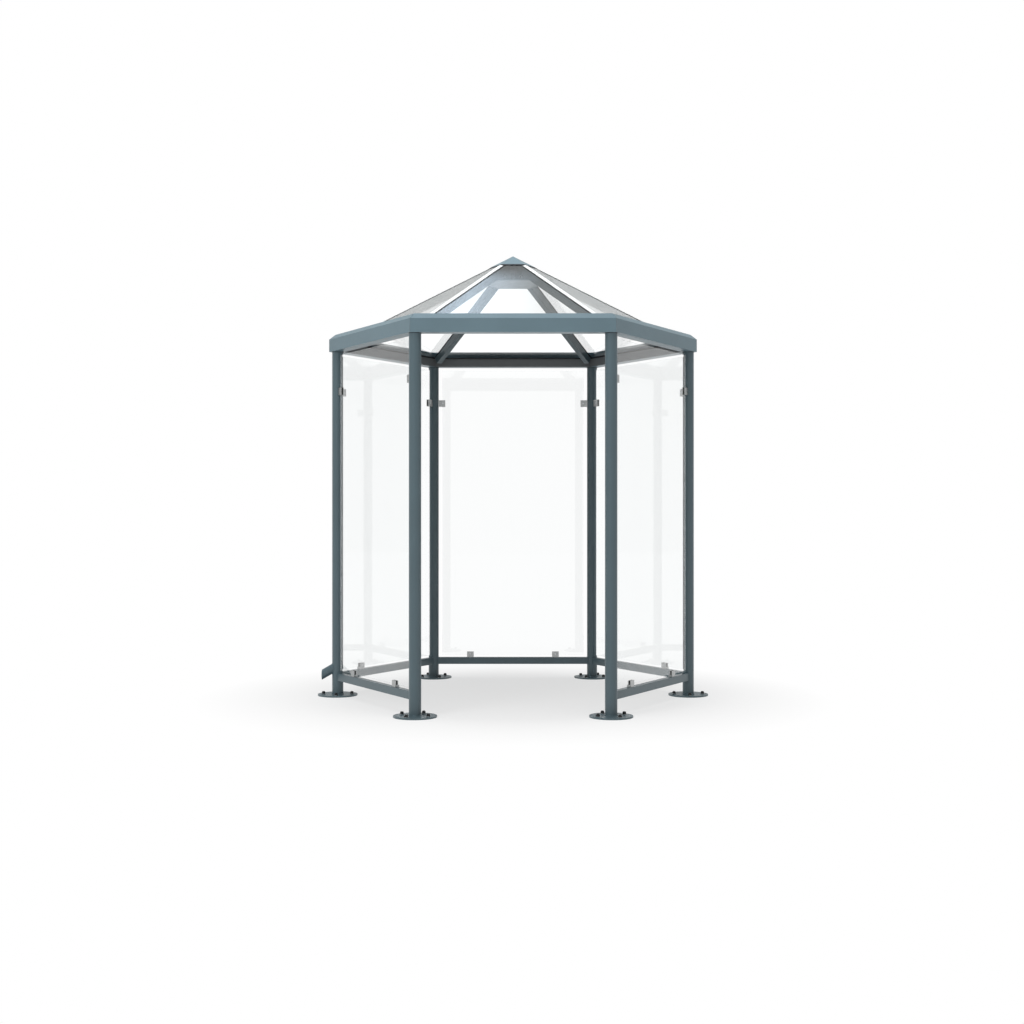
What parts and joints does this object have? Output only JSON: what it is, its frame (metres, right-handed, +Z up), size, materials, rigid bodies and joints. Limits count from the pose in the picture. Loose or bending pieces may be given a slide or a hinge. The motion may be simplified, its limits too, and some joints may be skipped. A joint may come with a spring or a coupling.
{
  "type": "smoking shelter",
  "caption": "Hexagonal open-fronted smoking shelter with round steel posts, clamped glass walls, a folded metal gutter and a pitched glass roof with a metal cap.",
  "frame": {"origin": "on the ground in the middle of the hexagon", "axes": "+Z up; the open entrance bay faces -Y; +X is to the right of someone outside who looks at the entrance"},
  "size_m": [2.67, 2.3482, 3.0057],
  "materials": {
    "frame_paint": "satin",
    "gutter_paint": "satin",
    "wall_glass": "gloss",
    "roof_glass": "gloss",
    "clamp_steel": "satin",
    "clamp_rubber": "matte",
    "gasket_rubber": "matte",
    "cover_paint": "satin",
    "cap_plastic": "matte",
    "screw_steel": "satin"
  },
  "bodies": {
    "root": {"base_plates": "frame_paint", "anchor_caps": "cap_plastic", "post_right": "frame_paint", "post_back_right": "frame_paint", "post_back_left": "frame_paint", "post_left": "frame_paint", "post_front_left": "frame_paint", "post_front_right": "frame_paint", "bottom_rails": "frame_paint", "wall_glass_back_right": "wall_glass", "wall_glass_back": "wall_glass", "wall_glass_back_left": "wall_glass", "wall_glass_front_left": "wall_glass", "wall_glass_front_right": "wall_glass", "rail_clamps": "clamp_steel", "post_clamps": "clamp_steel", "clamp_linings": "clamp_rubber", "gutter_back_right": "gutter_paint", "gutter_back": "gutter_paint", "gutter_back_left": "gutter_paint", "gutter_front_left": "gutter_paint", "gutter_front": "gutter_paint", "gutter_front_right": "gutter_paint", "rafter_right": "frame_paint", "rafter_back_right": "frame_paint", "rafter_back_left": "frame_paint", "rafter_left": "frame_paint", "rafter_front_left": "frame_paint", "rafter_front_right": "frame_paint", "roof_glass_back_right": "roof_glass", "roof_glass_back": "roof_glass", "roof_glass_back_left": "roof_glass", "roof_glass_front_left": "roof_glass", "roof_glass_front": "roof_glass", "roof_glass_front_right": "roof_glass", "rafter_gaskets": "gasket_rubber", "hip_covers": "cover_paint", "eaves_gaskets": "gasket_rubber", "hub_tube": "frame_paint", "hub_fins": "frame_paint", "hub_plate": "frame_paint", "hub_screws": "screw_steel", "roof_cap": "gutter_paint", "cap_seal": "gasket_rubber", "rain_spout": "frame_paint"}
  },
  "joints": []
}
